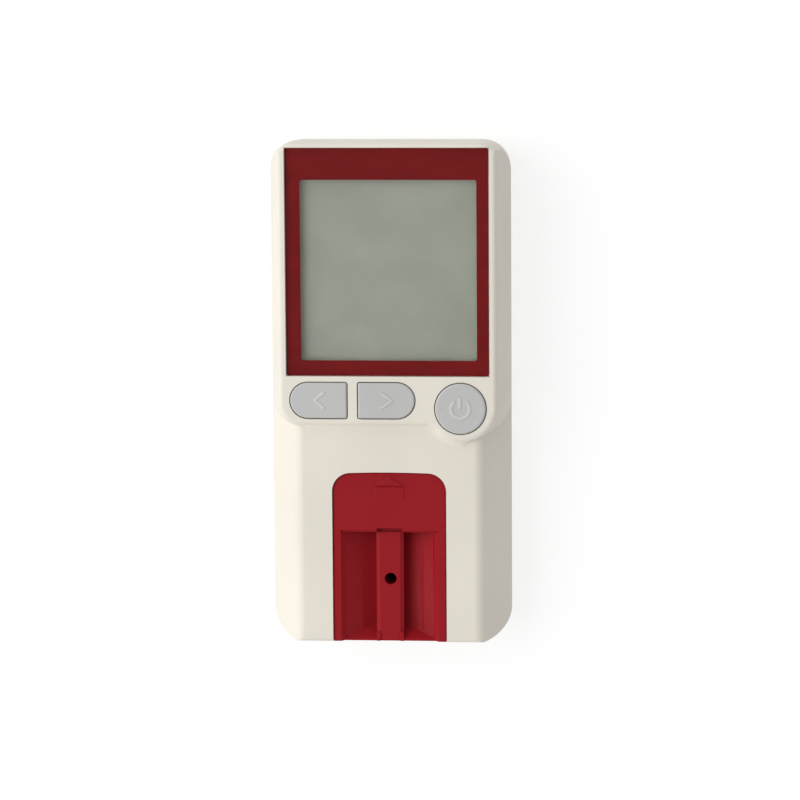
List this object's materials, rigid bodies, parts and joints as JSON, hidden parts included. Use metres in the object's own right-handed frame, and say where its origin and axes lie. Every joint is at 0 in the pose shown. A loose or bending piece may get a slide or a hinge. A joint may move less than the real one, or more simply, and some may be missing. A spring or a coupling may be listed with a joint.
{
  "type": "hemoglobin meter",
  "caption": "Hand-held hemoglobin strip meter with a large display, two arrow keys, a round power key and a red slide-out strip holder in the lower end.",
  "frame": {"origin": "middle of the casing's plan, on the plane that the feet rest on", "axes": "+X to the user's right, +Y towards the display end, +Z out of the display face"},
  "size_m": [0.06, 0.125, 0.0254],
  "materials": {
    "casing_cream": "fine matte moulding",
    "screw_steel": "satin",
    "grey_rubber": "matte",
    "clear_pane": "clear and glossy",
    "red_print": "smooth print",
    "black_foam": "foam",
    "lcd_film": "smooth film",
    "lcd_cell": "smooth",
    "reflector_film": "satin film",
    "white_plastic": "matte",
    "zebra_rubber": "matte",
    "key_grey": "fine matte",
    "black_plastic": "matte",
    "switch_plunger": "matte",
    "circuit_board": "solder mask",
    "can_steel": "satin",
    "capacitor_sleeve": "gloss sleeve",
    "holder_red": "satin moulding",
    "led_body": "clear resin",
    "diode_body": "dark resin",
    "connector_plastic": "matte",
    "ribbon_film": "film",
    "contact_metal": "nickel plated",
    "cell_jacket": "printed sleeve"
  },
  "bodies": {
    "casing": {"front_cover": "casing_cream", "rear_cover": "casing_cream", "housing_screws": "screw_steel", "rubber_feet": "grey_rubber", "display_lens": "clear_pane", "display_mask": "red_print", "display_gasket": "black_foam", "lcd_polariser": "lcd_film", "lcd_glass": "lcd_cell", "lcd_reflector": "reflector_film", "lcd_frame": "white_plastic", "zebra_strips": "zebra_rubber", "left_switch_body": "black_plastic", "right_switch_body": "black_plastic", "power_switch_body": "black_plastic", "main_circuit_board": "circuit_board", "board_screws": "screw_steel", "microcontroller": "black_plastic", "crystal": "can_steel", "capacitors": "capacitor_sleeve", "buzzer": "black_plastic", "optical_window": "clear_pane", "optics_block": "black_plastic", "measuring_leds": "led_body", "photodiode": "diode_body", "optics_board": "circuit_board", "optics_board_screws": "screw_steel", "ribbon_connectors": "connector_plastic", "ribbon_cable": "ribbon_film", "battery_positive_terminal": "contact_metal", "battery_negative_terminal": "contact_metal", "battery_link_lower": "contact_metal", "battery_link_upper": "contact_metal", "battery_1": "cell_jacket", "battery_2": "cell_jacket", "battery_3": "cell_jacket"},
    "left_arrow_key": {"left_arrow_button": "key_grey", "left_switch_plunger": "switch_plunger"},
    "right_arrow_key": {"right_arrow_button": "key_grey", "right_switch_plunger": "switch_plunger"},
    "power_key": {"power_button": "key_grey", "power_switch_plunger": "switch_plunger"},
    "holder": {"strip_holder": "holder_red"},
    "door": {"battery_door": "casing_cream"}
  },
  "joints": [
    {"name": "left_arrow_press", "type": "slide", "parent": "casing", "child": "left_arrow_key", "axis": [0, 0, -1], "range_m": [0, 0.0004], "stiffness_N_per_m": 1500, "springref_m": -0.0004},
    {"name": "right_arrow_press", "type": "slide", "parent": "casing", "child": "right_arrow_key", "axis": [0, 0, -1], "range_m": [0, 0.0004], "stiffness_N_per_m": 1500, "springref_m": -0.0004},
    {"name": "power_press", "type": "slide", "parent": "casing", "child": "power_key", "axis": [0, 0, -1], "range_m": [0, 0.0004], "stiffness_N_per_m": 1500, "springref_m": -0.0004},
    {"name": "strip_holder_slide", "type": "slide", "parent": "casing", "child": "holder", "axis": [0, -1, 0], "range_m": [0, 0.042]},
    {"name": "battery_door_hinge", "type": "hinge", "parent": "casing", "child": "door", "pos_m": [0, 0.0015, 0.0006], "axis": [-1, 0, 0], "range_deg": [0, 60]}
  ]
}
